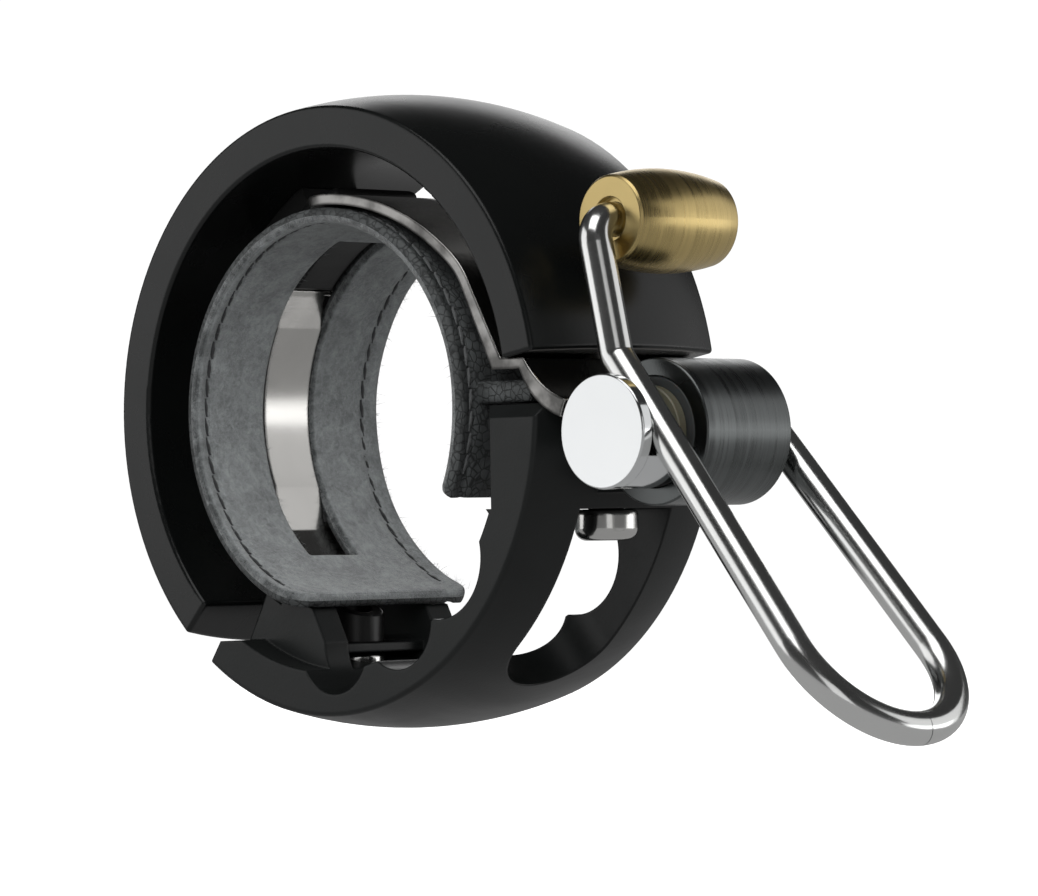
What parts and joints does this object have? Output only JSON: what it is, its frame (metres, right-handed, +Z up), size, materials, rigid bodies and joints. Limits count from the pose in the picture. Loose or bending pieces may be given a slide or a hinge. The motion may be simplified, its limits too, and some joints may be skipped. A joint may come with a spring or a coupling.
{
  "type": "bicycle bell",
  "caption": "Hoop-shaped handlebar bell: a crowned open ring on a leather-lined steel clamp band, with a moulded lower bracket and a sprung wire lever that swings a brass hammer.",
  "frame": {"origin": "centre of the handlebar bore, half way across the bell", "axes": "Y along the handlebar, Z up, X towards the striker lever"},
  "size_m": [0.0857, 0.0218, 0.0549],
  "materials": {
    "ring_black": "satin black coating",
    "saddle_black": "matt moulded nylon",
    "screw_black": "black oxide",
    "band_steel": "polished stainless steel",
    "liner_leather": "grained outside, suede inside, stitched edges",
    "bracket_black": "fine satin moulded nylon",
    "screw_steel": "bright plated steel",
    "housing_black": "black anodised, turned",
    "washer_tan": "natural nylon",
    "bush_black": "black nylon",
    "spring_steel": "spring steel",
    "pin_chrome": "polished chrome",
    "wire_steel": "polished steel wire",
    "hammer_brass": "satin turned brass"
  },
  "bodies": {
    "mount": {"bell_ring": "ring_black", "bell_saddle": "saddle_black", "bell_screw": "screw_black", "saddle_cover": "saddle_black", "clamp_band": "band_steel", "liner": "liner_leather", "bracket": "bracket_black", "clamp_screw": "screw_steel", "clamp_nut": "screw_steel", "anchor_screw": "screw_steel", "anchor_nut": "screw_black", "housing_screws": "screw_black", "spring_housing": "housing_black", "front_washer": "washer_tan", "front_bush": "bush_black", "rear_bush": "bush_black", "rear_washer": "washer_tan", "torsion_spring": "spring_steel"},
    "lever": {"pivot_pin": "pin_chrome", "lever_hub": "pin_chrome", "rear_collar": "pin_chrome", "lever_wire": "wire_steel", "hammer": "hammer_brass"}
  },
  "joints": [
    {"name": "lever_hinge", "type": "hinge", "parent": "mount", "child": "lever", "pos_m": [0.03304, 0, -0.0026], "axis": [0, 1, 0], "range_deg": [-5, 40], "stiffness_Nm_per_rad": 0.25}
  ]
}
